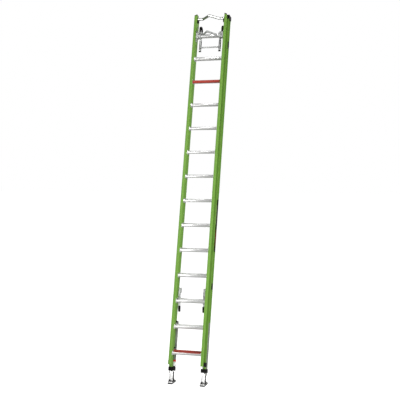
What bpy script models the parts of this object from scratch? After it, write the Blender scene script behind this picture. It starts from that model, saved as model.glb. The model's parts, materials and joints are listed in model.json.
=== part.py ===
"""Fibreglass extension ladder, leaning at its working angle with its shoes flat on the ground.

Two sections slide on each other: the wider base stands on the ground, and the narrower fly
runs up the climber's side of it.  The base has a leveler leg with a swivel shoe in each rail.
The fly carries two rung locks, a pair of cable hooks, and a V-rung that nests on a pole.

Everything is laid out in the ladder's own upright coordinates and then tipped back by one
parent empty: +X across, -Y towards the climber, +Z up along the rails, with the origin at the
centre of the fly's lowest rung.  Units are metres.
"""

import math

import bmesh
import bpy
from mathutils import Matrix, Vector

# ---- driving dimensions -------------------------------------------------------------------
PITCH = 0.3048            # rung to rung, 12 inches
RUNGS = 14                # in each section
LEAN = math.radians(14.5)  # standard four-to-one working angle
SOLE_DROP = 0.362         # fly's lowest rung centre to the ground, measured plumb
GAP = 0.0003              # between pieces that touch

# fly section, climber's side
FLY_WEB = 0.1790          # inner face of the web, from the centre plane
FLY_WIDTH = 0.0350        # web inner face to flange edge
FLY_FRONT = -0.0350
FLY_DEPTH = 0.0700
FLY_BOTTOM = -0.1350
FLY_TOP = 4.2480
FLANGE = 0.0050
WEB = 0.0040

# base section, wall side
BASE_WEB = 0.1940
BASE_WIDTH = 0.0310
BASE_FRONT = 0.0410
BASE_DEPTH = 0.0800
BASE_BOTTOM = -0.1750
BASE_TOP = 4.2350
BASE_RUNG_Y = 0.0805      # centre of the base's rungs, front to back
BASE_RUNG_RISE = 0.0220   # base rungs stand this much higher than the fly's

# rungs: hollow D section, flat tread on top
RUNG_DEPTH = 0.0360
RUNG_HEIGHT = 0.0350
RUNG_WALL = 0.0022
RUNG_CLEAR = 0.0270       # radius that clears the section at any turn
PLATE_THICK = 0.0030      # flared end plate against the web
PLATE_GROW = 1.22

# guides that keep the sections together
GUIDE_OUT = 0.2320
GUIDE_BACK = 0.1200
GUIDE_SLOT = (0.0295, 0.0468)   # front and back of the slot round both flanges
GUIDE_SLOT_X = 0.2258
TOP_GUIDE_Z = (4.1950, 4.2450)
LOW_GUIDE_Z = (-0.1350, -0.0880)

# levelers
LEG_X = (0.2000, 0.2235)
LEG_Y = (0.0605, 0.1155)
LEG_WALL = 0.0030
LEG_TOP = 0.3770
FOOT_X = 0.1965           # centre of the lower leg and of the shoe
FOOT_HALF = 0.0205
FOOT_Y = (0.0550, 0.1050)
FOOT_TOP = -0.2150
ANKLE_Y = 0.0800
ANKLE_Z = -0.2850
ANKLE_R = 0.0180
COLLAR_X = (0.1670, 0.2300)
COLLAR_Y = (0.0360, 0.1260)
COLLAR_Z = (-0.2050, -0.1600)
COLLAR_SLACK = 0.0007     # round the rail and round the leg
RACK_X = (0.1700, 0.1937)
RACK_Y = (0.1035, 0.1205)
RACK_TOP = 0.3770
EAR_FRONT = 0.0700
EAR_THICK = 0.0050
EAR_LIFT = 0.0300         # ear above the rung centre that it bears on
LEVER_X = (0.1705, 0.1905)
LEVER_Y = 0.0966
LEVER_Z = -0.1500
LEVER_THICK = 0.0064
LEVER_LENGTH = 0.0650

# shoes, level with the ground
SHOE_HALF = 0.0280
SHOE_WALL = 0.0040
SHOE_FRONT = -0.0600
SHOE_BACK = 0.0880
PAD_THICK = 0.0140

# rung locks, at the fly's third rung
LOCK_RUNG = 2
LOCK_X = (0.1400, 0.1640)
LOCK_PIVOT_Y = 0.0360
LOCK_PIVOT_RISE = 0.0300
TONGUE_DROP = 0.0130
TONGUE_X = (0.1440, 0.1620)

# cable hooks, hung on the fly's top rung
HOOK_RUNG = RUNGS - 1
HOOK_X = (0.1150, 0.1400)   # hubs and tail arms
BEND_X = (0.1360, 0.1540)   # bends, set outwards of the arms
LINK_Z = (0.0520, 0.0660)   # bars from the arms out to the bends
HOOK_HUB_R = 0.0360
HOOK_ARM_Y = (0.0260, 0.0380)
HOOK_ARM_DROP = 0.2000
HOOK_BEND_Y = 0.0750
HOOK_BEND_Z = 0.1080      # above the rung centre
HOOK_BEND_R = 0.0450
HOOK_THICK = 0.0080
HOOK_TIP_Z = 0.0600
LINER_THICK = 0.0050
TIE_Z = -0.1420
TIE_R = 0.0090
BRACKET_X = (0.1440, 0.1755)

# V-rung and the V-brace below it
V_Z = 4.1920
V_HALF = 0.1050
V_REACH = 0.0900
V_R = 0.0160
BRACE_HALF = 0.0950
BRACE_REACH = 0.1150
BRACE_THICK = 0.0060
BRACE_HEIGHT = 0.0240

ARC_STEPS = 8

# ---- scene set-up -------------------------------------------------------------------------


def clear_scene():
    for obj in list(bpy.data.objects):
        bpy.data.objects.remove(obj, do_unlink=True)
    for coll in list(bpy.data.collections):
        bpy.data.collections.remove(coll)


def new_collection(name):
    coll = bpy.data.collections.new(name)
    bpy.context.scene.collection.children.link(coll)
    return coll


def empty(name, location, parent=None, tip=0.0):
    """An axis marker; tip turns it about X."""
    obj = bpy.data.objects.new(name, None)
    obj.empty_display_size = 0.05
    obj.location = location
    obj.rotation_euler = (tip, 0, 0)
    obj.parent = parent
    PARTS.objects.link(obj)
    return obj


def material(name, colour, roughness, metallic=0.0):
    mat = bpy.data.materials.new(name)
    mat.use_nodes = True
    shader = mat.node_tree.nodes["Principled BSDF"]
    shader.inputs["Base Color"].default_value = (*colour, 1.0)
    shader.inputs["Roughness"].default_value = roughness
    shader.inputs["Metallic"].default_value = metallic
    mat.diffuse_color = (*colour, 1.0)
    return mat


# ---- shape helpers ------------------------------------------------------------------------


def arc(centre, radius, start, end, steps=ARC_STEPS):
    """Points on an arc, angles in degrees."""
    points = []
    for i in range(steps + 1):
        a = math.radians(start + (end - start) * i / steps)
        points.append((centre[0] + radius * math.cos(a), centre[1] + radius * math.sin(a)))
    return points


def flat_mesh(name, outlines, thickness):
    """A flat outline (with any holes) given thickness, as a closed mesh lying in XY."""
    curve = bpy.data.curves.new(name, "CURVE")
    curve.dimensions = "2D"
    curve.fill_mode = "BOTH"
    curve.extrude = thickness / 2
    for outline in outlines:
        spline = curve.splines.new("POLY")
        spline.points.add(len(outline) - 1)
        for point, (x, y) in zip(spline.points, outline):
            point.co = (x, y, 0, 1)
        spline.use_cyclic_u = True
    return curve_to_mesh(name, curve)


def tube_mesh(name, points, radius, resolution=3):
    """A round bar along straight runs between points."""
    curve = bpy.data.curves.new(name, "CURVE")
    curve.dimensions = "3D"
    curve.bevel_depth = radius
    curve.bevel_resolution = resolution
    curve.use_fill_caps = True
    spline = curve.splines.new("POLY")
    spline.points.add(len(points) - 1)
    for point, co in zip(spline.points, points):
        point.co = (*co, 1)
    return curve_to_mesh(name, curve)


def curve_to_mesh(name, curve):
    holder = bpy.data.objects.new(name + "_curve", curve)
    bpy.context.scene.collection.objects.link(holder)
    graph = bpy.context.evaluated_depsgraph_get()
    mesh = bpy.data.meshes.new_from_object(holder.evaluated_get(graph))
    bpy.data.objects.remove(holder)
    mesh.name = name
    weld(mesh)
    return mesh


def weld(mesh):
    """Join the curve's loose caps to its walls and face everything outwards."""
    bm = bmesh.new()
    bm.from_mesh(mesh)
    bmesh.ops.remove_doubles(bm, verts=bm.verts, dist=1e-6)
    bmesh.ops.recalc_face_normals(bm, faces=bm.faces)
    bm.to_mesh(mesh)
    bm.free()


def box_mesh(name, low, high):
    bm = bmesh.new()
    bmesh.ops.create_cube(bm, size=1.0)
    size = Vector(high) - Vector(low)
    centre = (Vector(high) + Vector(low)) / 2
    bmesh.ops.scale(bm, vec=size, verts=bm.verts)
    bmesh.ops.translate(bm, vec=centre, verts=bm.verts)
    mesh = bpy.data.meshes.new(name)
    bm.to_mesh(mesh)
    bm.free()
    return mesh


def turn_mesh(mesh, matrix):
    mesh.transform(matrix)
    bm = bmesh.new()
    bm.from_mesh(mesh)
    bmesh.ops.recalc_face_normals(bm, faces=bm.faces)
    bm.to_mesh(mesh)
    bm.free()
    return mesh


# (x, y, z) of a flat outline become (Y, Z, X) of the ladder: a side profile
SIDE_ON = Matrix(((0, 0, 1, 0), (1, 0, 0, 0), (0, 1, 0, 0), (0, 0, 0, 1)))


def side_mesh(name, outlines, x_range):
    """A side profile, drawn as (Y, Z) points, spread between two X values."""
    mesh = flat_mesh(name, outlines, x_range[1] - x_range[0])
    turn_mesh(mesh, SIDE_ON)
    return turn_mesh(mesh, Matrix.Translation(((x_range[0] + x_range[1]) / 2, 0, 0)))


def plan_mesh(name, outlines, z_range):
    """A plan outline, drawn as (X, Y) points, spread between two heights."""
    mesh = flat_mesh(name, outlines, z_range[1] - z_range[0])
    return turn_mesh(mesh, Matrix.Translation((0, 0, (z_range[0] + z_range[1]) / 2)))


def part(name, mesh, mat, parent=None, location=(0, 0, 0), smooth=None):
    """One named sub-part; smooth is the edge angle below which it shades round."""
    obj = bpy.data.objects.new(name, mesh)
    obj.location = location
    obj.parent = parent
    PARTS.objects.link(obj)
    if not mesh.materials:
        mesh.materials.append(mat)
    if smooth:
        mesh.shade_smooth()
        mesh.set_sharp_from_angle(angle=math.radians(smooth))
    return obj


def cutter(name, mesh, parent=None, location=(0, 0, 0)):
    obj = bpy.data.objects.new(name, mesh)
    obj.location = location
    obj.parent = parent
    obj.hide_render = True
    obj.display_type = "WIRE"
    CUTTERS.objects.link(obj)
    return obj


def boolean(obj, other, operation):
    mod = obj.modifiers.new(operation.lower(), "BOOLEAN")
    mod.operation = operation
    mod.object = other
    return obj


def mirrored(points, side):
    return [(side * x, y) for x, y in points]


def span(low_high, side):
    """A pair of X values on one side of the ladder, in rising order."""
    return tuple(sorted((side * low_high[0], side * low_high[1])))


SIDES = (("left", -1), ("right", 1))

# ---- rails and rungs ----------------------------------------------------------------------


def channel_outline(web_x, width, front, depth):
    """C section with its flanges turned outwards, for the right-hand rail."""
    back = front + depth
    edge = web_x + width
    inner = web_x + WEB
    fillet = 0.003
    outline = [(web_x, front + 0.002), (web_x + 0.002, front), (edge - 0.001, front)]
    outline += [(edge, front + 0.001), (edge, front + FLANGE)]
    outline += arc((inner + fillet, front + FLANGE + fillet), fillet, 270, 180, 2)
    outline += arc((inner + fillet, back - FLANGE - fillet), fillet, 180, 90, 2)
    outline += [(edge, back - FLANGE), (edge, back - 0.001), (edge - 0.001, back)]
    outline += [(web_x + 0.002, back), (web_x, back - 0.002)]
    return outline


def rails(prefix, web_x, width, front, depth, z_range, mat, parent):
    for label, side in SIDES:
        outline = mirrored(channel_outline(web_x, width, front, depth), side)
        mesh = plan_mesh(f"{prefix}_rail_{label}", [outline], z_range)
        part(f"{prefix}_rail_{label}", mesh, mat, parent)


def rung_outline(depth, height, inset=0.0):
    """D section about its centre: level tread on top, round belly below."""
    half = depth / 2 - inset
    top = height / 2 - inset
    corner = 0.005 - min(inset, 0.003)
    outline = arc((half - corner, top - corner), corner, 0, 90, 2)
    outline += arc((-half + corner, top - corner), corner, 90, 180, 2)
    belly = height / 2 - inset
    for i in range(1, 10):
        a = math.pi + math.pi * i / 10
        outline.append((half * math.cos(a), 0.15 * top + (belly + 0.15 * top) * math.sin(a)))
    return outline


def rung_mesh(name, half_length):
    """Hollow rung with a flared plate at each end."""
    outer = rung_outline(RUNG_DEPTH, RUNG_HEIGHT)
    bore = rung_outline(RUNG_DEPTH, RUNG_HEIGHT, RUNG_WALL)
    plate = rung_outline(RUNG_DEPTH * PLATE_GROW, RUNG_HEIGHT * PLATE_GROW)
    bm = bmesh.new()
    inner_end = half_length - PLATE_THICK
    stations = [(outer, -inner_end), (plate, -inner_end), (plate, -half_length)]
    stations += [(bore, -half_length), (bore, half_length)]
    stations += [(plate, half_length), (plate, inner_end), (outer, inner_end)]
    rings = []
    for outline, x in stations:
        rings.append([bm.verts.new((x, y, z)) for y, z in outline])
    for ring, following in zip(rings, rings[1:] + rings[:1]):
        for i in range(len(ring)):
            j = (i + 1) % len(ring)
            bm.faces.new((ring[i], ring[j], following[j], following[i]))
    bmesh.ops.recalc_face_normals(bm, faces=bm.faces)
    mesh = bpy.data.meshes.new(name)
    bm.to_mesh(mesh)
    bm.free()
    return mesh


def rungs(prefix, half_length, y, rise, painted, parent):
    """A ladder of rungs, level at the working angle; painted is the one red rung."""
    plain = rung_mesh(f"{prefix}_rung", half_length)
    red = rung_mesh(f"{prefix}_rung_red", half_length)
    for i in range(RUNGS):
        mesh, mat = (red, RED) if i == painted else (plain, ALUMINIUM)
        z = i * PITCH + rise
        obj = part(f"{prefix}_rung_{i + 1:02d}", mesh, mat, parent, (0, y, z), 30)
        obj.rotation_euler = (LEAN, 0, 0)


# ---- guides -------------------------------------------------------------------------------


def top_guides(parent):
    """Caps on the base's rails: each lip holds the fly's rear flange."""
    front, back = GUIDE_SLOT
    lip = 0.2000
    outline = [(lip, 0.0195), (GUIDE_OUT - 0.003, 0.0195), (GUIDE_OUT, 0.0225)]
    outline += [(GUIDE_OUT, GUIDE_BACK - 0.003), (GUIDE_OUT - 0.003, GUIDE_BACK)]
    outline += [(GUIDE_SLOT_X, GUIDE_BACK), (GUIDE_SLOT_X, 0.0600)]
    outline += [(lip, 0.0600), (lip, back), (GUIDE_SLOT_X, back), (GUIDE_SLOT_X, front), (lip, front)]
    for label, side in SIDES:
        mesh = plan_mesh(f"top_guide_{label}", [mirrored(outline, side)], TOP_GUIDE_Z)
        part(f"top_guide_{label}", mesh, BLACK, parent)


def low_guides(parent):
    """Brackets in the foot of the fly's rails: each hooks behind the base's front flange."""
    front, back = GUIDE_SLOT
    root = FLY_WEB + WEB + 0.004
    outline = [(root, -0.0150), (0.2060, -0.0150), (GUIDE_OUT - 0.002, 0.0080), (GUIDE_OUT - 0.002, 0.0555)]
    outline += [(0.2050, 0.0555), (0.2050, back), (GUIDE_SLOT_X, back), (GUIDE_SLOT_X, front)]
    outline += [(root, front)]
    for label, side in SIDES:
        mesh = plan_mesh(f"low_guide_{label}", [mirrored(outline, side)], LOW_GUIDE_Z)
        part(f"low_guide_{label}", mesh, BLACK, parent)


# ---- levelers and shoes -------------------------------------------------------------------


def collars(parent):
    """Boots on the base's rail ends; the leg slides down through each."""
    slack = COLLAR_SLACK
    for label, side in SIDES:
        x = span(COLLAR_X, side)
        low = (x[0], COLLAR_Y[0], COLLAR_Z[0])
        high = (x[1], COLLAR_Y[1], COLLAR_Z[1])
        boot = part(f"collar_{label}", box_mesh(f"collar_{label}", low, high), BLACK, parent)
        rail = span((BASE_WEB - slack, BASE_WEB + BASE_WIDTH + slack), side)
        low = (rail[0], BASE_FRONT - slack, BASE_BOTTOM - GAP)
        high = (rail[1], BASE_FRONT + BASE_DEPTH + slack, 0)
        pocket = box_mesh(f"pocket_{label}", low, high)
        leg = span((LEG_X[0] - slack, LEG_X[1] + slack), side)
        low = (leg[0], LEG_Y[0] - slack, -1)
        high = (leg[1], LEG_Y[1] + slack, 0)
        passage = box_mesh(f"passage_{label}", low, high)
        boolean(boot, cutter(f"pocket_{label}", pocket, parent), "DIFFERENCE")
        boolean(boot, cutter(f"passage_{label}", passage, parent), "DIFFERENCE")


def racks(parent):
    """Toothed rack housings on the inside of the base's rails, with an ear over each low rung."""
    floor = COLLAR_Z[1] + GAP
    outline = [(RACK_Y[0], floor), (RACK_Y[1], floor), (RACK_Y[1], RACK_TOP)]
    outline.append((RACK_Y[0], RACK_TOP))
    for rung in (1, 0):
        level = rung * PITCH + BASE_RUNG_RISE + EAR_LIFT
        top = level + EAR_THICK
        outline += [(RACK_Y[0], top), (EAR_FRONT, top), (EAR_FRONT, level), (RACK_Y[0], level)]
    for label, side in SIDES:
        mesh = side_mesh(f"leveler_rack_{label}", [outline], span(RACK_X, side))
        part(f"leveler_rack_{label}", mesh, STEEL, parent)


def levers(parent):
    """Release levers at the foot of the racks; they tip towards the climber."""
    half = LEVER_THICK / 2
    outline = arc((0, 0), half, 180, 360, 4)
    outline += [(half, 0.010), (half - 0.002, LEVER_LENGTH), (-half - 0.006, LEVER_LENGTH + 0.004)]
    outline += [(-half - 0.008, LEVER_LENGTH - 0.006), (-half, LEVER_LENGTH - 0.014)]
    for label, side in SIDES:
        pivot = empty(f"lever_axis_{label}", (0, LEVER_Y, LEVER_Z), parent)
        mesh = side_mesh(f"release_lever_{label}", [outline], span(LEVER_X, side))
        part(f"release_lever_{label}", mesh, STEEL, pivot, smooth=30)


def legs(parent):
    """Leveler legs: a channel inside the rail, and a wider foot below the collar."""
    x0, x1 = LEG_X
    y0, y1 = LEG_Y
    w = LEG_WALL
    channel = [(x0, y0), (x1, y0), (x1, y1), (x0, y1)]
    channel += [(x0, y1 - w), (x1 - w, y1 - w), (x1 - w, y0 + w), (x0, y0 + w)]
    foot = arc((ANKLE_Y, ANKLE_Z), ANKLE_R, 200, 340, 6)
    foot += [(FOOT_Y[1], ANKLE_Z + 0.010), (FOOT_Y[1], FOOT_TOP), (FOOT_Y[0], FOOT_TOP)]
    foot += [(FOOT_Y[0], ANKLE_Z + 0.010)]
    for label, side in SIDES:
        mesh = plan_mesh(f"leveler_leg_{label}", [mirrored(channel, side)], (FOOT_TOP - 0.020, LEG_TOP))
        leg = part(f"leveler_leg_{label}", mesh, STEEL, parent)
        block = side_mesh(f"foot_{label}", [foot], span((FOOT_X - FOOT_HALF, FOOT_X + FOOT_HALF), side))
        boolean(leg, cutter(f"foot_{label}", block, parent), "UNION")


def shoes(parent):
    """Swivel shoes: a bent aluminium shoe and its rubber pad, level with the ground."""
    drop = sole_depth()
    plate_low = -drop + PAD_THICK + GAP
    plate_top = plate_low + SHOE_WALL
    plate = [(SHOE_FRONT + 0.004, plate_low), (SHOE_BACK - 0.004, plate_low)]
    plate += [(SHOE_BACK - 0.008, plate_top), (SHOE_FRONT + 0.008, plate_top)]
    ear = arc((0, 0), 0.015, 200, -20, 8)
    ear += [(0.050, plate_top), (0.046, plate_low + 0.001)]
    ear += [(-0.040, plate_low + 0.001), (-0.044, plate_top)]
    pad = [(SHOE_FRONT + 0.006, -drop), (SHOE_BACK - 0.006, -drop), (SHOE_BACK, -drop + 0.005)]
    pad += [(SHOE_BACK - 0.002, plate_low - GAP), (SHOE_FRONT + 0.002, plate_low - GAP)]
    pad += [(SHOE_FRONT, -drop + 0.005)]
    for label, side in SIDES:
        ankle = empty(f"ankle_{label}", (side * FOOT_X, ANKLE_Y, ANKLE_Z), parent, LEAN)
        width = (-SHOE_HALF, SHOE_HALF)
        shoe = part(f"shoe_{label}", side_mesh(f"shoe_{label}", [plate], width), ALUMINIUM, ankle)
        for end in (-1, 1):
            wall = span((SHOE_HALF - SHOE_WALL, SHOE_HALF), end)
            mesh = side_mesh(f"cheek_{label}_{end}", [ear], wall)
            boolean(shoe, cutter(f"cheek_{label}_{end}", mesh, ankle), "UNION")
        part(f"shoe_pad_{label}", side_mesh(f"shoe_pad_{label}", [pad], width), RUBBER, ankle)


def sole_depth():
    """Ankle to ground, measured plumb."""
    return SOLE_DROP - ANKLE_Y * math.sin(LEAN) + ANKLE_Z * math.cos(LEAN)


# ---- rung locks ---------------------------------------------------------------------------


def locks(parent):
    """Hooks parked upright behind the fly's third rung; they swing back over a base rung."""
    rung_z = LOCK_RUNG * PITCH
    hub = 0.012
    hook = arc((0, 0), hub, 150, 330, 6)
    hook += [(0.0100, 0.0060), (-0.0085, 0.0200), (-0.0140, 0.0460), (-0.0140, 0.0760)]
    hook += [(0.0030, 0.0790)]
    hook += [(0.0120, 0.0700), (0.0190, 0.0740), (0.0190, 0.0880), (0.0140, 0.1200)]
    hook += [(0.0040, 0.1320), (-0.0120, 0.1320), (-0.0220, 0.1220), (-0.0270, 0.0860)]
    hook.append((-0.0270, 0.0400))
    tongue = arc((0, 0), 0.007, 20, 160, 4)
    tongue += [(-0.0090, -0.030), (-0.0070, -0.065), (0.0040, -0.100), (0.0130, -0.108)]
    tongue += [(0.0170, -0.104), (0.0130, -0.092), (0.0090, -0.062), (0.0070, -0.030)]
    for label, side in SIDES:
        axis = empty(f"lock_axis_{label}", (0, LOCK_PIVOT_Y, rung_z + LOCK_PIVOT_RISE), parent)
        mesh = side_mesh(f"rung_lock_{label}", [hook], span(LOCK_X, side))
        part(f"rung_lock_{label}", mesh, STEEL, axis)
        hinge = empty(f"tongue_axis_{label}", (0, LOCK_PIVOT_Y, rung_z - TONGUE_DROP), parent)
        mesh = side_mesh(f"lock_tongue_{label}", [tongue], span(TONGUE_X, side))
        part(f"lock_tongue_{label}", mesh, BLACK, hinge, smooth=30)


# ---- cable hooks --------------------------------------------------------------------------


def bend_outline():
    """Side profile about the rung's centre: short arm, open bend and long tip."""
    inner = HOOK_BEND_R - HOOK_THICK / 2
    outer = HOOK_BEND_R + HOOK_THICK / 2
    bend = (HOOK_BEND_Y, HOOK_BEND_Z)
    a0, a1 = HOOK_ARM_Y
    outline = [(a0, LINK_Z[0]), (a1, LINK_Z[0]), (a1, HOOK_BEND_Z - GAP)]
    outline += arc(bend, inner, 180, 0, 10)
    outline += [(HOOK_BEND_Y + inner, HOOK_TIP_Z), (HOOK_BEND_Y + outer, HOOK_TIP_Z)]
    outline += arc(bend, outer, 0, 180, 10)
    return outline


def cable_hooks(parent):
    """Both hooks and the bar that ties their tails turn together on the top rung."""
    axis = empty("hook_axis", (0, 0, HOOK_RUNG * PITCH), parent)
    tie_y = (HOOK_ARM_Y[0] + HOOK_ARM_Y[1]) / 2
    tie_end = HOOK_X[0] + 0.004
    tie = tube_mesh("cable_hooks", [(-tie_end, tie_y, TIE_Z), (tie_end, tie_y, TIE_Z)], TIE_R)
    frame = part("cable_hooks", tie, STEEL, axis)
    eye = arc((0, 0), RUNG_CLEAR, 0, 337.5, 15)
    ring = [arc((0, 0), HOOK_HUB_R, 0, 337.5, 15), eye]
    for label, side in SIDES:
        x = span(HOOK_X, side)
        hub = cutter(f"hub_{label}", side_mesh(f"hub_{label}", ring, x), axis)
        low = (x[0], HOOK_ARM_Y[0], -HOOK_ARM_DROP)
        high = (x[1], HOOK_ARM_Y[1], LINK_Z[1])
        arm = cutter(f"arm_{label}", box_mesh(f"arm_{label}", low, high), axis)
        bend_x = span(BEND_X, side)
        reach = span((HOOK_X[0], BEND_X[1]), side)
        low = (reach[0], HOOK_ARM_Y[0], LINK_Z[0])
        high = (reach[1], HOOK_ARM_Y[1], LINK_Z[1])
        link = cutter(f"link_{label}", box_mesh(f"link_{label}", low, high), axis)
        bend = cutter(f"bend_{label}", side_mesh(f"bend_{label}", [bend_outline()], bend_x), axis)
        through = side_mesh(f"bore_{label}", [eye], (x[0] - 0.001, x[1] + 0.001))
        bore = cutter(f"bore_{label}", through, axis)
        boolean(frame, arm, "UNION")
        boolean(frame, link, "UNION")
        boolean(frame, bend, "UNION")
        boolean(frame, hub, "UNION")
        boolean(frame, bore, "DIFFERENCE")
        rim = HOOK_BEND_R - HOOK_THICK / 2 - GAP
        liner = arc((HOOK_BEND_Y, HOOK_BEND_Z), rim, 180, 0, 10)
        liner += arc((HOOK_BEND_Y, HOOK_BEND_Z), rim - LINER_THICK, 0, 180, 10)
        mesh = side_mesh(f"hook_liner_{label}", [liner], bend_x)
        part(f"hook_liner_{label}", mesh, RUBBER, axis, smooth=30)


def hook_brackets(parent):
    """Collars on the top rung that hold the hooks against sliding sideways."""
    outer = [(-0.030, -0.034), (0.026, -0.034), (0.034, -0.026), (0.034, 0.030)]
    outer += [(0.026, 0.046), (-0.022, 0.046), (-0.030, 0.038)]
    bore = arc((0, 0), RUNG_CLEAR, 0, 337.5, 15)
    for label, side in SIDES:
        mesh = side_mesh(f"hook_bracket_{label}", [outer, bore], span(BRACKET_X, side))
        part(f"hook_bracket_{label}", mesh, STEEL, parent, (0, 0, HOOK_RUNG * PITCH))


# ---- top of the fly -----------------------------------------------------------------------


def v_rung(parent):
    """Bent bar whose open side faces the pole."""
    end = FLY_WEB - GAP
    points = [(-end, 0, 0), (-V_HALF, 0, 0), (-0.008, -V_REACH, 0), (0.008, -V_REACH, 0)]
    points += [(V_HALF, 0, 0), (end, 0, 0)]
    part("v_rung", tube_mesh("v_rung", points, V_R), ALUMINIUM, parent, (0, 0, V_Z), 50)


def v_brace(parent):
    """Folded strap standing out from the top rung, under the V-rung."""
    start = -RUNG_CLEAR - GAP
    t = BRACE_THICK
    outline = [(-BRACE_HALF, start), (-0.006, start - BRACE_REACH), (0.006, start - BRACE_REACH)]
    outline += [(BRACE_HALF, start), (BRACE_HALF - 1.6 * t, start), (0, start - BRACE_REACH + 1.9 * t)]
    outline += [(-BRACE_HALF + 1.6 * t, start)]
    half = BRACE_HEIGHT / 2
    mesh = plan_mesh("v_brace", [outline], (-half, half))
    part("v_brace", mesh, STEEL, parent, (0, 0, HOOK_RUNG * PITCH))


# ---- assembly -----------------------------------------------------------------------------


def ladder_origin():
    """Where the fly's lowest rung goes, so that the whole box stands centred on the ground."""
    front = FLY_FRONT * math.cos(LEAN) + FLY_BOTTOM * math.sin(LEAN)
    back = GUIDE_BACK * math.cos(LEAN) + TOP_GUIDE_Z[1] * math.sin(LEAN)
    return (0, -(front + back) / 2, SOLE_DROP)


clear_scene()
PARTS = new_collection("extension_ladder")
CUTTERS = new_collection("cutters")
GREEN = material("rail_green", (0.200, 0.390, 0.080), 0.45)
ALUMINIUM = material("aluminium", (0.780, 0.780, 0.770), 0.35, 1.0)
RED = material("red_paint", (0.340, 0.030, 0.020), 0.45)
STEEL = material("zinc_steel", (0.430, 0.440, 0.430), 0.40, 1.0)
BLACK = material("black_plastic", (0.020, 0.020, 0.020), 0.50)
RUBBER = material("rubber", (0.015, 0.015, 0.015), 0.80)

LADDER = empty("lean", ladder_origin(), tip=-LEAN)
rails("fly", FLY_WEB, FLY_WIDTH, FLY_FRONT, FLY_DEPTH, (FLY_BOTTOM, FLY_TOP), GREEN, LADDER)
rails("base", BASE_WEB, BASE_WIDTH, BASE_FRONT, BASE_DEPTH, (BASE_BOTTOM, BASE_TOP), GREEN, LADDER)
rungs("fly", FLY_WEB - GAP, 0.0, 0.0, RUNGS - 3, LADDER)
rungs("base", BASE_WEB - GAP, BASE_RUNG_Y, BASE_RUNG_RISE, 0, LADDER)
top_guides(LADDER)
low_guides(LADDER)
collars(LADDER)
racks(LADDER)
levers(LADDER)
legs(LADDER)
shoes(LADDER)
locks(LADDER)
cable_hooks(LADDER)
hook_brackets(LADDER)
v_rung(LADDER)
v_brace(LADDER)
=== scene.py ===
"""Looks of the extension ladder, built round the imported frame.

Lengths are in metres.  Most pieces are laid out in the ladder's own upright coordinates, with
the origin at the centre of the fly's lowest rung, +X across, -Y towards the climber and +Z up
the rails.  LADDER turns those into the frame's coordinates.  Rungs and shoes are level, so
their pieces are laid out in the frame's own coordinates.
"""
import json
import math

import bmesh
import bpy
from mathutils import Euler, Matrix, Vector


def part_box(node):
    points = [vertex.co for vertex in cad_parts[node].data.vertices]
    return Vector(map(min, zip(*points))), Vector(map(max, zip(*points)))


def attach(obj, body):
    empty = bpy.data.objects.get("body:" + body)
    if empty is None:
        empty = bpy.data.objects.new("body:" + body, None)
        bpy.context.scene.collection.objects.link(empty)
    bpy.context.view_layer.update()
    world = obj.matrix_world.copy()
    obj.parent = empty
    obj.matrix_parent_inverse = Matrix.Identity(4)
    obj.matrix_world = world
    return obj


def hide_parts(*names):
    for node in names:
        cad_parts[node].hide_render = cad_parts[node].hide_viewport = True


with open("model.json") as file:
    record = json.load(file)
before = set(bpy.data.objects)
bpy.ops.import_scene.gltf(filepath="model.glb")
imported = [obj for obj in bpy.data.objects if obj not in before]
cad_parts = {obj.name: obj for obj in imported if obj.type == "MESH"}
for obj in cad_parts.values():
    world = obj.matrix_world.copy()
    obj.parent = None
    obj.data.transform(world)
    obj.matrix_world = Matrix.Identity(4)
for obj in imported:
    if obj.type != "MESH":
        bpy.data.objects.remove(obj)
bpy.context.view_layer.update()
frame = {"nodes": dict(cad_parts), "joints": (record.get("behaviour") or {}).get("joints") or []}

# ---- where things are, read from the frame --------------------------------------------------


def middle(node):
    low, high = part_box(node)
    return (low + high) / 2


def joint(name):
    return next(j for j in frame["joints"] if j["name"] == name)


UP = Vector(joint("fly_slide")["axis"])
LEAN = math.atan2(UP.y, UP.z)
ORIGIN = middle("fly_rung_01")
LADDER = Matrix.Translation(ORIGIN) @ Matrix.Rotation(-LEAN, 4, "X")
TO_LADDER = LADDER.inverted()
LEVEL = Matrix.Identity(4)
RUNGS = sum(1 for name in frame["nodes"] if name.startswith("fly_rung"))
PITCH = (middle("fly_rung_02") - middle("fly_rung_01")).length
SIDES = (("left", -1), ("right", 1))


def local(point):
    return TO_LADDER @ Vector(point)


def local_box(node):
    """A node's corners in the ladder's upright coordinates."""
    points = [TO_LADDER @ v.co for v in frame["nodes"][node].data.vertices]
    low = Vector([min(p[i] for p in points) for i in range(3)])
    high = Vector([max(p[i] for p in points) for i in range(3)])
    return low, high


def joint_at(name):
    return local(joint(name)["pos_m"])


def in_and_out(low, high, side):
    """X of a box's face towards the ladder's middle, and of the face away from it."""
    return (low.x, high.x) if side > 0 else (high.x, low.x)


FLY_LOW, FLY_HIGH = local_box("fly_rail_right")
BASE_LOW, BASE_HIGH = local_box("base_rail_right")
BASE_RUNG = local(middle("base_rung_01"))
WEB = 0.0040              # thickness of the rails' webs
FLANGE = 0.0050           # and of their flanges

# ---- mesh helpers ---------------------------------------------------------------------------

EDGE = 0.0006             # softening of a side slab's edges, if nothing else is given
JOINED = 1e-6             # points closer than this become one


def arc(centre, radius, start, end, steps):
    """Points along an arc, between two angles in degrees."""
    points = []
    for i in range(steps + 1):
        a = math.radians(start + (end - start) * i / steps)
        points.append((centre[0] + radius * math.cos(a), centre[1] + radius * math.sin(a)))
    return points


def rounded_box(low, high, corner, steps):
    """Outline of a box between two corner points, its own corners rounded."""
    (x0, z0), (x1, z1) = low, high
    outline = arc((x1 - corner, z1 - corner), corner, 0, 90, steps)
    outline += arc((x0 + corner, z1 - corner), corner, 90, 180, steps)
    outline += arc((x0 + corner, z0 + corner), corner, 180, 270, steps)
    outline += arc((x1 - corner, z0 + corner), corner, 270, 360, steps)
    return outline


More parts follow.
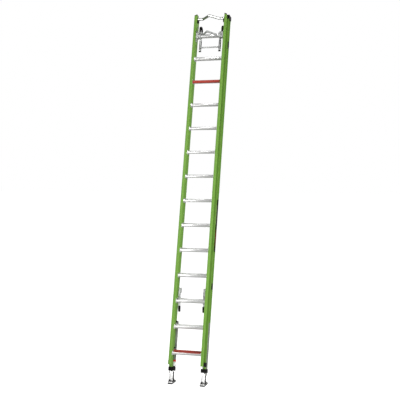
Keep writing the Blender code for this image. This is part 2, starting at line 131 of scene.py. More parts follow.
def mesh_from(name, bm):
    bmesh.ops.recalc_face_normals(bm, faces=bm.faces)
    mesh = bpy.data.meshes.new(name)
    bm.to_mesh(mesh)
    bm.free()
    return mesh


def cleaned(mesh, weld=0.0):
    """Turns the faces outwards, after joining points that are closer than weld."""
    bm = bmesh.new()
    bm.from_mesh(mesh)
    if weld:
        bmesh.ops.remove_doubles(bm, verts=bm.verts, dist=weld)
    bmesh.ops.recalc_face_normals(bm, faces=bm.faces)
    bm.to_mesh(mesh)
    bm.free()
    return mesh


def moved(mesh, x, y, z):
    mesh.transform(Matrix.Translation((x, y, z)))
    return mesh


def curve_mesh(name, curve):
    holder = bpy.data.objects.new(name, curve)
    bpy.context.scene.collection.objects.link(holder)
    graph = bpy.context.evaluated_depsgraph_get()
    mesh = bpy.data.meshes.new_from_object(holder.evaluated_get(graph))
    bpy.data.objects.remove(holder)
    return cleaned(mesh, JOINED)


def slab(name, outlines, thickness, edge):
    """A flat outline, with any holes, given thickness and softened edges; it lies in XY."""
    curve = bpy.data.curves.new(name, "CURVE")
    curve.dimensions = "2D"
    curve.fill_mode = "BOTH"
    curve.extrude = thickness / 2 - edge
    curve.bevel_depth = edge
    curve.bevel_resolution = 1
    curve.offset = -edge
    for outline in outlines:
        spline = curve.splines.new("POLY")
        spline.points.add(len(outline) - 1)
        for point, (x, y) in zip(spline.points, outline):
            point.co = (x, y, 0, 1)
        spline.use_cyclic_u = True
    return curve_mesh(name, curve)


SIDE_ON = Matrix(((0, 0, 1, 0), (1, 0, 0, 0), (0, 1, 0, 0), (0, 0, 0, 1)))
FRONT_ON = Matrix.Rotation(math.radians(90), 4, "X")


def side_slab(name, outlines, x_start, x_end, edge=EDGE):
    """A side profile, drawn as (Y, Z) points, between two X values in either order."""
    mesh = slab(name, outlines, abs(x_end - x_start), edge)
    mesh.transform(Matrix.Translation(((x_start + x_end) / 2, 0, 0)) @ SIDE_ON)
    return mesh


def front_slab(name, outline, y, thickness, edge):
    """A front view, drawn as (X, Z) points, with its thickness centred on a Y value."""
    mesh = slab(name, [outline], thickness, edge)
    mesh.transform(Matrix.Translation((0, y, 0)) @ FRONT_ON)
    return mesh


def tube(name, points, radius, resolution, cyclic=False):
    """A round rod along points, closed to a ring if it is cyclic."""
    curve = bpy.data.curves.new(name, "CURVE")
    curve.dimensions = "3D"
    curve.bevel_depth = radius
    curve.bevel_resolution = resolution
    curve.use_fill_caps = not cyclic
    spline = curve.splines.new("POLY")
    spline.points.add(len(points) - 1)
    for point, co in zip(spline.points, points):
        point.co = (*co, 1)
    spline.use_cyclic_u = cyclic
    return curve_mesh(name, curve)


def skin(bm, rings):
    """Faces between each ring of points and the next; all rings are equally long."""
    for ring, following in zip(rings, rings[1:]):
        for i in range(len(ring)):
            j = (i + 1) % len(ring)
            bm.faces.new((ring[i], ring[j], following[j], following[i]))


def turned(bm, profile, matrix, steps=16):
    """Adds a turned shape: profile is (radius, height) from axis to axis, about local Z."""
    rings = []
    for radius, height in profile:
        if radius == 0:
            rings.append([bm.verts.new(matrix @ Vector((0, 0, height)))])
            continue
        ring = []
        for i in range(steps):
            a = 2 * math.pi * i / steps
            point = Vector((radius * math.cos(a), radius * math.sin(a), height))
            ring.append(bm.verts.new(matrix @ point))
        rings.append(ring)
    for low, high in zip(rings, rings[1:]):
        for i in range(steps):
            j = (i + 1) % steps
            corners = [low[i % len(low)], low[j % len(low)]]
            corners += [high[j % len(high)], high[i % len(high)]]
            # Next to the axis two corners are the same point, and the face is a triangle.
            bm.faces.new(list(dict.fromkeys(corners)))


def facing(axis, point):
    """Matrix that puts local Z along an axis of the ladder, at a point."""
    turn = Vector(axis).to_track_quat("Z", "Y").to_matrix().to_4x4()
    return Matrix.Translation(point) @ turn


def piece(name, mesh, mat, body, place=LADDER, stands_for=(), angle=35):
    """A visual piece riding on a body, smooth up to an angle in degrees."""
    mesh.transform(place)
    cleaned(mesh)
    mesh.shade_smooth()
    mesh.set_sharp_from_angle(angle=math.radians(angle))
    mesh.materials.clear()
    mesh.materials.append(mat)
    obj = bpy.data.objects.new(name, mesh)
    bpy.context.scene.collection.objects.link(obj)
    if stands_for:
        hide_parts(*stands_for)
    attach(obj, body)


# ---- materials ------------------------------------------------------------------------------


class Recipe:
    """A procedural material under construction, textured in the ladder's coordinates."""

    def __init__(self, name, metallic=0.0):
        self.mat = bpy.data.materials.new(name)
        self.mat.use_nodes = True
        self.tree = self.mat.node_tree
        self.shader = self.tree.nodes["Principled BSDF"]
        self.shader.inputs["Metallic"].default_value = metallic
        coords = self.tree.nodes.new("ShaderNodeTexCoord")
        self.turn = self.tree.nodes.new("ShaderNodeMapping")
        self.turn.inputs["Rotation"].default_value = (LEAN, 0, 0)
        self.link(coords.outputs["Object"], self.turn.inputs["Vector"])

    def link(self, out, into):
        self.tree.links.new(out, into)

    def noise(self, scale, detail, stretch=(1, 1, 1), roughness=0.5):
        mapping = self.tree.nodes.new("ShaderNodeMapping")
        mapping.inputs["Scale"].default_value = stretch
        self.link(self.turn.outputs["Vector"], mapping.inputs["Vector"])
        node = self.tree.nodes.new("ShaderNodeTexNoise")
        node.inputs["Scale"].default_value = scale
        node.inputs["Detail"].default_value = detail
        node.inputs["Roughness"].default_value = roughness
        self.link(mapping.outputs["Vector"], node.inputs["Vector"])
        return node.outputs["Fac"]

    def voronoi(self, scale):
        node = self.tree.nodes.new("ShaderNodeTexVoronoi")
        node.inputs["Scale"].default_value = scale
        self.link(self.turn.outputs["Vector"], node.inputs["Vector"])
        return node.outputs["Distance"]

    def remap(self, value, low, high, out_low=0.0, out_high=1.0):
        node = self.tree.nodes.new("ShaderNodeMapRange")
        node.inputs["From Min"].default_value = low
        node.inputs["From Max"].default_value = high
        node.inputs["To Min"].default_value = out_low
        node.inputs["To Max"].default_value = out_high
        self.link(value, node.inputs["Value"])
        return node.outputs["Result"]

    def blend(self, factor, first, second):
        """Mixes two colours; each is a colour value or a socket."""
        node = self.tree.nodes.new("ShaderNodeMix")
        node.data_type = "RGBA"
        self.link(factor, node.inputs["Factor"])
        for name, value in (("A", first), ("B", second)):
            socket = next(s for s in node.inputs if s.name == name and s.type == "RGBA")
            if isinstance(value, tuple):
                socket.default_value = (*value, 1)
            else:
                self.link(value, socket)
        return next(s for s in node.outputs if s.type == "RGBA")

    def colour(self, socket):
        self.link(socket, self.shader.inputs["Base Color"])

    def roughness(self, socket):
        self.link(socket, self.shader.inputs["Roughness"])

    def gloss(self, specular, ior=None):
        self.shader.inputs["Specular IOR Level"].default_value = specular
        if ior is not None:
            self.shader.inputs["IOR"].default_value = ior

    def bump(self, layers):
        """layers is a list of (height socket, strength, distance), stacked."""
        below = None
        for height, strength, distance in layers:
            node = self.tree.nodes.new("ShaderNodeBump")
            node.inputs["Strength"].default_value = strength
            node.inputs["Distance"].default_value = distance
            self.link(height, node.inputs["Height"])
            if below:
                self.link(below, node.inputs["Normal"])
            below = node.outputs["Normal"]
        self.link(below, self.shader.inputs["Normal"])


def scaled(tint, share):
    """A tint made darker or lighter, and no brighter than white."""
    return tuple(min(1, c * share) for c in tint)


def fibreglass():
    """Pultruded rail: rovings run up it under a gel veil, with a few rubbed patches."""
    r = Recipe("fibreglass_green")
    rovings = r.noise(260, 2, (1, 1, 0.012))
    drift = r.noise(7, 3)
    veil = r.noise(900, 2)
    rubbed = r.remap(r.noise(38, 5, (1, 1, 0.35), 0.7), 0.62, 0.74)
    body = r.blend(r.remap(rovings, 0.35, 0.65), (0.118, 0.262, 0.036), (0.165, 0.335, 0.058))
    body = r.blend(r.remap(drift, 0.35, 0.70, 0.0, 0.35), body, (0.180, 0.305, 0.058))
    body = r.blend(r.remap(rubbed, 0, 1, 0.0, 0.30), body, (0.330, 0.450, 0.210))
    r.colour(body)
    r.roughness(r.remap(veil, 0.3, 0.7, 0.42, 0.58))
    r.bump([(rovings, 0.16, 0.0004), (veil, 0.10, 0.0002)])
    r.gloss(0.22, 1.35)
    return r.mat


def bright_metal(name, stretch, tint=(0.88, 0.88, 0.87), metallic=0.80):
    """Extruded aluminium with drawing lines and smudges."""
    r = Recipe(name, metallic)
    lines = r.noise(420, 3, stretch)
    smudge = r.noise(22, 4)
    body = r.blend(r.remap(lines, 0.35, 0.65), scaled(tint, 0.84), tint)
    body = r.blend(r.remap(smudge, 0.50, 0.75, 0.0, 0.35), body, (0.68, 0.68, 0.66))
    r.colour(body)
    r.roughness(r.remap(smudge, 0.3, 0.7, 0.29, 0.37))
    r.bump([(lines, 0.12, 0.0003)])
    return r.mat


def dull_metal(name, tint, metallic, rough=(0.42, 0.60)):
    """Cast or plated metal, slightly grained, with darker handling marks."""
    r = Recipe(name, metallic)
    grain = r.noise(520, 3)
    marks = r.noise(45, 5, (1, 1, 0.5), 0.65)
    body = r.blend(r.remap(marks, 0.47, 0.66), tint, scaled(tint, 0.40))
    body = r.blend(r.remap(grain, 0.60, 0.75, 0.0, 0.5), body, scaled(tint, 1.35))
    r.colour(body)
    r.roughness(r.remap(grain, 0.3, 0.7, *rough))
    r.bump([(grain, 0.22, 0.0004), (marks, 0.10, 0.0006)])
    return r.mat


def red_paint():
    """Painted rung, rubbed thin where feet and hands go."""
    r = Recipe("red_paint")
    peel = r.noise(330, 2)
    wear = r.noise(60, 6, (0.5, 1, 1), 0.7)
    body = r.blend(r.remap(peel, 0.35, 0.65), (0.280, 0.028, 0.022), (0.410, 0.060, 0.042))
    body = r.blend(r.remap(wear, 0.60, 0.70, 0.0, 0.65), body, (0.520, 0.340, 0.290))
    r.colour(body)
    r.roughness(r.remap(wear, 0.3, 0.7, 0.38, 0.58))
    r.bump([(peel, 0.14, 0.0003), (wear, 0.10, 0.0004)])
    r.gloss(0.18)
    return r.mat


def moulded(name, tint, rough=(0.42, 0.60)):
    """Moulded plastic: a fine spark texture and a little dust."""
    r = Recipe(name)
    spark = r.noise(1100, 2)
    film = r.noise(30, 4)
    dusty = r.remap(film, 0.45, 0.75, 0.0, 0.02)
    r.colour(r.blend(dusty, tint, (0.30, 0.30, 0.29)))
    r.roughness(r.remap(spark, 0.3, 0.7, *rough))
    r.bump([(spark, 0.25, 0.0003)])
    r.gloss(0.14, 1.25)
    return r.mat


def rubber():
    """Rubber of the pads and bumpers, greyed by dust and scuffs."""
    r = Recipe("rubber_black")
    crumb = r.voronoi(700)
    film = r.noise(55, 5)
    dusty = r.remap(film, 0.40, 0.75, 0.0, 0.15)
    r.colour(r.blend(dusty, (0.007, 0.007, 0.007), (0.080, 0.078, 0.074)))
    r.roughness(r.remap(film, 0.3, 0.7, 0.70, 0.92))
    r.bump([(crumb, 0.30, 0.0004)])
    r.gloss(0.12, 1.20)
    return r.mat


GREEN = fibreglass()
RUNG_METAL = bright_metal("aluminium_rung", (0.02, 1, 1))
# The V-rung's aluminium is a darker copy of the rung aluminium: painted shade that stands for the
# shade on its limbs.
V_METAL_PAINTED_SHADE = bright_metal("aluminium_v_painted_shade", (0.02, 1, 1), (0.60, 0.61, 0.60), 1.0)
PLATE_METAL = bright_metal("aluminium_plate", (1, 1, 0.1))
SHOE_METAL = bright_metal("aluminium_shoe", (1, 0.1, 1), (0.92, 0.92, 0.91), 0.40)
RED = red_paint()
LEVEL_GREY = dull_metal("leveler_grey", (0.300, 0.310, 0.285), 0.35)
HOOK_GREY = dull_metal("hook_grey", (0.52, 0.53, 0.52), 0.55)
LOCK_GREY = dull_metal("lock_grey", (0.58, 0.59, 0.58), 0.55)
SHOE_DARK = dull_metal("shoe_dark", (0.022, 0.022, 0.021), 0.50)
BOLT_METAL = dull_metal("bolt_metal", (0.60, 0.60, 0.57), 0.95, (0.28, 0.42))
BLACK = moulded("black_plastic", (0.007, 0.007, 0.007))
CAP_OLIVE = moulded("cap_olive", (0.045, 0.055, 0.022))
RED_GRIP = moulded("red_grip", (0.560, 0.040, 0.030), (0.35, 0.50))
RUBBER = rubber()
LABEL_ROUGH = (0.55, 0.70)
LABEL_DARK = moulded("label_dark", (0.010, 0.009, 0.008), LABEL_ROUGH)
LABEL_ORANGE = moulded("label_orange", (0.26, 0.070, 0.030), LABEL_ROUGH)
LABEL_PALE = moulded("label_pale", (0.20, 0.19, 0.15), LABEL_ROUGH)

CAD_LOOKS = (
    ("fly_rail", GREEN), ("base_rail", GREEN), ("v_rung", V_METAL_PAINTED_SHADE), ("v_brace", HOOK_GREY),
    ("cable_hooks", HOOK_GREY), ("hook_bracket", HOOK_GREY), ("rung_lock", LOCK_GREY),
    ("lock_tongue", BLACK), ("top_guide", BLACK), ("low_guide", BLACK), ("collar", BLACK),
    ("leveler_leg", LEVEL_GREY), ("leveler_rack", LEVEL_GREY), ("release_lever", PLATE_METAL),
    ("shoe_pad", RUBBER), ("shoe_", SHOE_METAL),
)
CAD_WELD = 0.00001
CAD_EDGE = 0.0008
CAD_EDGE_ANGLE = math.radians(50)


def dress_cad():
    """The carried-over nodes get their finish, and edges that catch the light."""
    for name, node in frame["nodes"].items():
        mat = next((m for prefix, m in CAD_LOOKS if name.startswith(prefix)), None)
        if mat is None:       # a rung or a hook's liner, which a finer piece replaces
            continue
        if not node.material_slots:
            node.data.materials.append(mat)
        for slot in node.material_slots:
            slot.material = mat
        weld = node.modifiers.new("weld", "WELD")
        weld.merge_threshold = CAD_WELD
        edges = node.modifiers.new("edges", "BEVEL")
        edges.width = CAD_EDGE
        edges.segments = 2
        edges.limit_method = "ANGLE"
        edges.angle_limit = CAD_EDGE_ANGLE
        edges.harden_normals = False


# ---- rungs ----------------------------------------------------------------------------------

RUNG_DEPTH = 0.0360
RUNG_HEIGHT = 0.0350
RUNG_CORNER = 0.0050
RIBS = 8
RIB_HEIGHT = 0.0010
BELLY_STEPS = 24
BORE = 0.88               # a rung's inside, as a share of its outside
END_GAP = 0.0003          # between a rung's end and the web
# The flared lip and the rolled bead at a rung's end: distance from the end, share of the section.
RUNG_END = (
    (0.0, 1.20), (0.0012, 1.22), (0.0026, 1.20), (0.0036, 1.06), (0.0048, 1.02),
    (0.0060, 1.06), (0.0085, 1.10), (0.0110, 1.06), (0.0125, 1.00),
)
PAINTED = ("fly_rung_12", "base_rung_01")


def rung_outline(grow, ribbed=True):
    """D section: a ribbed level tread, rounded shoulders and a deep belly."""
    half = RUNG_DEPTH / 2
    top = RUNG_HEIGHT / 2
    flat = half - RUNG_CORNER
    step = 2 * flat / RIBS
    dip = RIB_HEIGHT if ribbed else 0.0
    outline = arc((flat, top - RUNG_CORNER), RUNG_CORNER, 0, 90, 5)
    for i in range(RIBS):
        start = flat - i * step
        outline += [(start - step * 0.15, top - dip), (start - step * 0.45, top - dip)]
        outline += [(start - step * 0.60, top), (start - step * 0.95, top)]
    outline += arc((-half + RUNG_CORNER, top - RUNG_CORNER), RUNG_CORNER, 90, 180, 5)
    for i in range(1, BELLY_STEPS):
        a = math.pi + math.pi * i / BELLY_STEPS
        outline.append((half * math.cos(a), 0.15 * top + 1.15 * top * math.sin(a)))
    return [(y * grow, z * grow) for y, z in outline]


def rung_mesh(name, half):
    """Hollow tube with a rolled bead and a flared lip against each web."""
    stations = [(-half + inset, rung_outline(grow)) for inset, grow in RUNG_END]
    stations += [(half - inset, rung_outline(grow)) for inset, grow in reversed(RUNG_END)]
    stations += [(half, rung_outline(BORE, False)), (-half, rung_outline(BORE, False))]
    bm = bmesh.new()
    rings = [[bm.verts.new((x, y, z)) for y, z in outline] for x, outline in stations]
    skin(bm, rings + rings[:1])
    return mesh_from(name, bm)


def rungs():
    for section, half in (("fly", FLY_LOW.x), ("base", BASE_LOW.x)):
        for i in range(1, RUNGS + 1):
            node = f"{section}_rung_{i:02d}"
            mat, slot = (RED, "red_paint") if node in PAINTED else (RUNG_METAL, "aluminium")
            mesh = rung_mesh(f"{node}_fine", half - END_GAP)
            place = Matrix.Translation(middle(node))
            piece(f"{node}_fine", mesh, mat, section, place, [node], 40)


def start_strip():
    """Red grip strip over the tread and upper front of the fly's lowest rung."""
    lowest = 0.0040
    end = FLY_LOW.x - 0.014
    over = [point for point in rung_outline(1.0, False) if point[1] > lowest]
    band = [(y * 1.03, z * 1.04) for y, z in over]
    band += [(y * 0.96, z * 0.96) for y, z in reversed(over)]
    mesh = side_slab("start_strip", [band], -end, end, 0.0001)
    place = Matrix.Translation(middle("fly_rung_01"))
    piece("start_strip", mesh, RED, "fly", place)


PLATE_HALF = (0.0270, 0.0265)     # half a rung plate's depth and height
PLATE_CORNER = 0.008
PLATE_THICK = 0.0016
RIVET_AT = (0.0225, 0.0220)       # rivets from the rung's centre, in Y and Z
RIVET = (
    (0, 0.0016), (0.0012, 0.0015), (0.0022, 0.0011), (0.0028, 0.0004), (0.0030, 0.0),
    (0.0030, -0.0004), (0, -0.0004),
)
SWAGE_RADIUS = 0.0013
SWAGE_GROW = 1.06


def rung_plates():
    """Riveted plates round each rung end, inside the web, and the swaged end outside it."""
    low_corner = (-PLATE_HALF[0], -PLATE_HALF[1])
    outline = rounded_box(low_corner, PLATE_HALF, PLATE_CORNER, 4)
    ring = [(0, y, z) for y, z in rung_outline(SWAGE_GROW, False)]
    for section, web, centre in (
        ("fly", FLY_LOW.x, Vector((0, 0, 0))), ("base", BASE_LOW.x, BASE_RUNG),
    ):
        inner = web - PLATE_THICK
        plates = bmesh.new()
        rivets = bmesh.new()
        ends = bmesh.new()
        for i in range(RUNGS):
            z = i * PITCH + centre.z
            for _, side in SIDES:
                plate = side_slab("plate", [outline], side * inner, side * (web - 0.0001), 0.0004)
                plates.from_mesh(moved(plate, 0, centre.y, z))
                swage = tube("swage", ring, SWAGE_RADIUS, 1, True)
                outside = Matrix.Translation((side * (web + WEB + 0.0004), centre.y, z))
                swage.transform(outside @ Matrix.Rotation(LEAN, 4, "X"))
                ends.from_mesh(swage)
                for y_sign, z_sign in ((1, 1), (-1, 1), (-1, -1), (1, -1)):
                    y = centre.y + y_sign * RIVET_AT[0]
                    at = (side * inner, y, z + z_sign * RIVET_AT[1])
                    turned(rivets, RIVET, facing((-side, 0, 0), at), 10)
        for name, bm, mat in (
            ("rung_plates", plates, PLATE_METAL), ("rivets", rivets, BOLT_METAL),
            ("rung_ends", ends, PLATE_METAL),
        ):
            piece(f"{section}_{name}", mesh_from(name, bm), mat, section)


# ---- rails ----------------------------------------------------------------------------------

HEEL = 0.0025             # radius of a rail's outer corners at the web
TIP = 0.0018              # and at the flanges' edges
ROOT = 0.0050             # radius between web and flange, inside
BEAD = 0.0045             # width of the beaded edge
BEAD_RAMP = 0.0062        # the bead, with the slope down from it
RAIL_LENGTHS = 40
TRIM_REACH = 0.020        # how far in from the flanges' edges a rail's top slopes down
CAP_GAP = 0.0002


def rail_outline(web, width, front, depth, bead):
    """C section, flanges outwards, with rounded roots and beaded flange edges."""
    back = front + depth
    edge = web + width
    inner = web + WEB
    outline = arc((web + HEEL, front + HEEL), HEEL, 180, 270, 4)
    outline += arc((edge - TIP, front + TIP), TIP, 270, 360, 4)
    outline += [(edge, front + FLANGE + bead), (edge - BEAD, front + FLANGE + bead)]
    outline += [(edge - BEAD_RAMP, front + FLANGE)]
    outline += arc((inner + ROOT, front + FLANGE + ROOT), ROOT, 270, 180, 5)
    outline += arc((inner + ROOT, back - FLANGE - ROOT), ROOT, 180, 90, 5)
    outline += [(edge - BEAD_RAMP, back - FLANGE), (edge - BEAD, back - FLANGE - bead)]
    outline += [(edge, back - FLANGE - bead)]
    outline += arc((edge - TIP, back - TIP), TIP, 0, 90, 4)
    outline += arc((web + HEEL, back - HEEL), HEEL, 90, 180, 4)
    return outline


def rail_mesh(name, outline, side, low, high, trim, cap=False):
    """A rail in short lengths, or its cap in one; the top's outer corner is dropped by trim.

    A cap's foot is dropped in the same way, so that it lies along the rail's top.
    """
    lengths = 1 if cap else RAIL_LENGTHS
    heights = [low + (high - low) * i / lengths for i in range(lengths + 1)]
    edge = max(x for x, y in outline)
    bm = bmesh.new()
    rings = []
    for z in heights:
        sloped = z == heights[-1] or cap
        ring = []
        for x, y in outline:
            drop = trim * max(0.0, (x - edge + TRIM_REACH) / TRIM_REACH) ** 2 if sloped else 0.0
            ring.append(bm.verts.new((side * x, y, z - drop)))
        rings.append(ring)
    skin(bm, rings)
    bm.faces.new(rings[0])
    bm.faces.new(rings[-1])
    return mesh_from(name, bm)


def rails():
    for section, low, high, bead, trim, cap in (
        ("fly", FLY_LOW, FLY_HIGH, 0.0015, 0.016, 0.0120),
        ("base", BASE_LOW, BASE_HIGH, 0.0, 0.0, 0.0),
    ):
        outline = rail_outline(low.x, high.x - low.x, low.y, high.y - low.y, bead)
        top = high.z - cap
        for label, side in SIDES:
            node = f"{section}_rail_{label}"
            mesh = rail_mesh(f"{node}_fine", outline, side, low.z, top, trim)
            piece(f"{node}_fine", mesh, GREEN, section, LADDER, [node], 30)
            if cap:
                mesh = rail_mesh(f"{node}_cap", outline, side, top, high.z - CAP_GAP, trim, True)
                piece(f"{node}_cap", mesh, CAP_OLIVE, section, angle=30)


# ---- locks ----------------------------------------------------------------------------------

WASHER = 0.0012           # thickness of a bolt's washer
SUNK = -0.0002            # how far a washer is let into what it stands on
# Bolts, as (radius of the head, height of its flat sides above the washer).
LOCK_BOLT = (0.0052, 0.0026)
RACK_BOLT = (0.0036, 0.0018)
LEVER_PIN = (0.0030, 0.0014)
ANKLE_BOLT = (0.0062, 0.0028)
BRACKET_BOLT = (0.0040, 0.0022)


def bolt(bm, at, axis, size):
    """Domed hexagon head on a washer, standing on the point and facing along the axis."""
    head, rise = size
    matrix = facing(axis, at)
    rim = head * 1.55
    washer = [(0, WASHER), (head * 1.45, WASHER), (rim, WASHER / 2), (rim, SUNK), (0, SUNK)]
    turned(bm, washer, matrix, 20)
    top = WASHER + rise
    hexagon = [(0, top), (head * 0.80, top), (head, 0.0006 + rise), (head, WASHER), (0, WASHER)]
    turned(bm, hexagon, matrix, 6)
    thread = [(0, 0.0042 + rise), (head * 0.42, 0.0040 + rise), (head * 0.50, 0.0034 + rise)]
    turned(bm, thread + [(head * 0.50, top), (0, top)], matrix, 12)


def pivot_heads(name, low, high, at, size):
    """Bolt heads on both side faces of a box, at a pivot's Y and Z."""
    bm = bmesh.new()
    for end, x in ((-1, low.x), (1, high.x)):
        bolt(bm, (x, at.y, at.z), (end, 0, 0), size)
    return mesh_from(name, bm)


def lock_profile(inset):
    """A lock's side view about its pivot, drawn in by inset from its plates' edge."""
    outline = arc((0, 0), 0.0120 - inset, 150, 330, 10)
    outline += [(0.0100 - inset, 0.0060), (-0.0085 - inset, 0.0200), (-0.0140 - inset, 0.0460)]
    outline += arc((-0.0060, 0.0730), 0.0080 + inset, 180, 90, 5)
    outline += [(0.0030, 0.0790 + inset), (0.0120 - inset, 0.0700 + inset)]
    outline += arc((0.0155, 0.0770), 0.0035 - inset, 290, 360, 3)
    outline += [(0.0190 - inset, 0.0880), (0.0150 - inset, 0.1180)]
    outline += arc((0.0040, 0.1210), 0.0110 - inset, 0, 90, 5)
    outline += arc((-0.0120, 0.1220), 0.0100 - inset, 90, 180, 5)
    outline += [(-0.0270 + inset, 0.0860), (-0.0270 + inset, 0.0400)]
    return outline


LOCK_WALL = 0.0024
LOCK_CORE_INSET = 0.0022
LOCK_WINDOW = [(-0.0190, 0.0880), (0.0080, 0.0900), (0.0060, 0.1120)]
LOCK_WINDOW += arc((-0.0030, 0.1150), 0.0060, 20, 150, 5) + [(-0.0150, 0.1120)]
COIL_TURNS = 6
COIL_STEPS = 16           # in each turn
COIL_RADIUS = 0.0066
COIL_PITCH = 0.0014
COIL_START = 0.0026       # how far the first turn stands off the lock's side
COIL_WIRE = 0.0008


def lock_spring(at, inner, side):
    """A coil on the pivot, beside the lock's inner face, with a tail down to the rail."""
    coil = []
    for i in range(COIL_TURNS * COIL_STEPS + 1):
        a = 2 * math.pi * i / COIL_STEPS
        x = inner - side * (COIL_START + COIL_PITCH * i / COIL_STEPS)
        coil.append((x, at.y + COIL_RADIUS * math.cos(a), at.z + COIL_RADIUS * math.sin(a)))
    x = coil[-1][0]
    coil += [(x, at.y - 0.010, at.z - 0.020), (x, at.y - 0.016, at.z - 0.030)]
    return tube("spring", coil, COIL_WIRE, 2)


def locks():
    for label, side in SIDES:
        body = f"lock_{label}"
        node = f"rung_lock_{label}"
        at = joint_at(f"lock_swing_{label}")
        low, high = local_box(node)
        core_low = low.x + LOCK_WALL
        core_high = high.x - LOCK_WALL
        for name, x0, x1, stands_for in (
            ("inner", low.x, core_low, [node]), ("outer", core_high, high.x, ()),
        ):
            mesh = side_slab(f"{body}_{name}", [lock_profile(0.0), LOCK_WINDOW], x0, x1)
            piece(f"lock_plate_{label}_{name}", moved(mesh, 0, at.y, at.z), LOCK_GREY,
                  body, stands_for=stands_for)
        core = [lock_profile(LOCK_CORE_INSET), LOCK_WINDOW]
        mesh = side_slab(f"lock_core_{label}", core, core_low, core_high, 0.0004)
        piece(f"lock_core_{label}", moved(mesh, 0, at.y, at.z), HOOK_GREY, body)
        mesh = pivot_heads("bolts", low, high, at, LOCK_BOLT)
        piece(f"lock_bolts_{label}", mesh, BOLT_METAL, body)
        inner, _ = in_and_out(low, high, side)
        mesh = lock_spring(at, inner, side)
        piece(f"lock_spring_{label}", mesh, BOLT_METAL, body)


# Side views about the tongue's pivot.
TONGUE_BOOT = [(-0.0105, -0.0400), (-0.0088, -0.0650), (0.0022, -0.1012)]
TONGUE_BOOT += arc((0.0165, -0.1040), 0.0060, 200, 350, 6)
TONGUE_BOOT += [(0.0200, -0.0900), (0.0150, -0.0620), (0.0110, -0.0400)]
TONGUE_LINK = arc((0, 0), 0.0082, 0, 180, 8)
TONGUE_LINK += [(-0.0102, -0.0300), (-0.0100, -0.0420), (0.0090, -0.0420), (0.0084, -0.0300)]


def tongue_boots():
    """Grey links on the lock tongues, and black boots over their lower halves."""
    for label, side in SIDES:
        at = joint_at(f"tongue_swing_{label}")
        inner, outer = in_and_out(*local_box(f"lock_tongue_{label}"), side)
        for name, outline, mat, slot, grow in (
            ("boot", TONGUE_BOOT, BLACK, "black_plastic", 0.0060),
            ("link", TONGUE_LINK, LOCK_GREY, "grey_metal", 0.0040),
        ):
            name = f"tongue_{name}_{label}"
            x0 = inner - side * grow
            x1 = outer + side * 0.0012
            mesh = side_slab(name, [outline], x0, x1, 0.0012)
            piece(name, moved(mesh, 0, at.y, at.z), mat, f"tongue_{label}")


# ---- levelers and shoes ---------------------------------------------------------------------

TOOTH_PITCH = 0.0085
EAR_HEIGHT = 0.052        # a leveler's ear above its rung
# Profiles of turned shapes, as (radius, height).
KNOB = (
    (0, 0.0190), (0.0070, 0.0185), (0.0098, 0.0160), (0.0106, 0.0080), (0.0088, 0.0025),
    (0.0088, -0.0002), (0, -0.0002),
)
STUD = ((0, 0.0004), (0.0030, 0.0004), (0.0036, 0.0), (0.0036, -0.0003), (0, -0.0003))
STUDS = 22


def levelers():
    """Teeth, bolts and knobs on the leveler racks."""
    for label, side in SIDES:
        low, high = local_box(f"leveler_rack_{label}")
        inner, _ = in_and_out(low, high, side)
        root = high.y - 0.0060
        crest = high.y - 0.0005
        teeth = bmesh.new()
        for i in range(int((high.z - low.z - 0.020) / TOOTH_PITCH)):
            z = low.z + 0.010 + i * TOOTH_PITCH
            tooth = [(root, z), (crest, z + 0.0010), (crest, z + 0.0035), (root, z + 0.0052)]
            x0 = inner - side * 0.0014
            x1 = inner + side * 0.0004
            teeth.from_mesh(side_slab("tooth", [tooth], x0, x1, 0.0002))
        bolts = bmesh.new()
        knobs = bmesh.new()
        for i in (0, 1):
            ear = i * PITCH + EAR_HEIGHT
            at = ((low.x + high.x) / 2, low.y + 0.014, ear + 0.0050)
            turned(knobs, KNOB, facing((0, 0, 1), at))
            for drop in (0.030, 0.090, 0.150):
                at = (inner, (low.y + high.y) / 2 + 0.0170, ear - drop)
                bolt(bolts, at, (-side, 0, 0), RACK_BOLT)
        for name, bm, mat, slot in (
            ("teeth", teeth, BOLT_METAL, "grey_metal"), ("knobs", knobs, BLACK, "black_plastic"),
            ("bolts", bolts, BOLT_METAL, "grey_metal"),
        ):
            piece(f"rack_{name}_{label}", mesh_from(name, bm), mat, "base")


def levers():
    """Red grips, bright faces and pivot pins on the release levers."""
    for label, side in SIDES:
        body = f"lever_{label}"
        low, high = local_box(f"release_lever_{label}")
        inner, outer = in_and_out(low, high, side)
        at = joint_at(f"lever_tip_{label}")
        grip = [(low.y - 0.0012, high.z - 0.0210), (low.y - 0.0016, high.z - 0.0060)]
        grip += arc((low.y + 0.0050, high.z - 0.0020), 0.0062, 160, 30, 6)
        grip += [(high.y - 0.0010, high.z - 0.0060), (high.y - 0.0006, high.z - 0.0230)]
        grip += [(low.y + 0.0050, high.z - 0.0260)]
        x0 = inner - side * 0.0105
        x1 = outer + side * 0.0010
        mesh = side_slab(f"grip_{label}", [grip], x0, x1, 0.0010)
        piece(f"lever_grip_{label}", mesh, RED_GRIP, body)
        edge = inner - side * 0.0100
        top = high.z - 0.0180
        foot = at.z + 0.0020
        face = [(outer, top), (edge, top), (edge + side * 0.0020, at.z + 0.0200)]
        face += [(edge + side * 0.0080, foot), (outer, foot)]
        mesh = front_slab(f"lever_face_{label}", face, low.y - 0.0006, 0.0022, 0.0004)
        piece(f"lever_face_{label}", mesh, SHOE_METAL, body)
        mesh = pivot_heads("pins", low, high, at, LEVER_PIN)
        piece(f"lever_pins_{label}", mesh, BOLT_METAL, body)


LEG_HALF = 0.0217         # half the width of a lower leg
LEG_REACH = 0.0262        # and half its depth
LEG_SKIN = 0.0011
LEG_CORNER = 0.003
LEG_WRAP = 0.0100         # how far the bright front goes round the sides


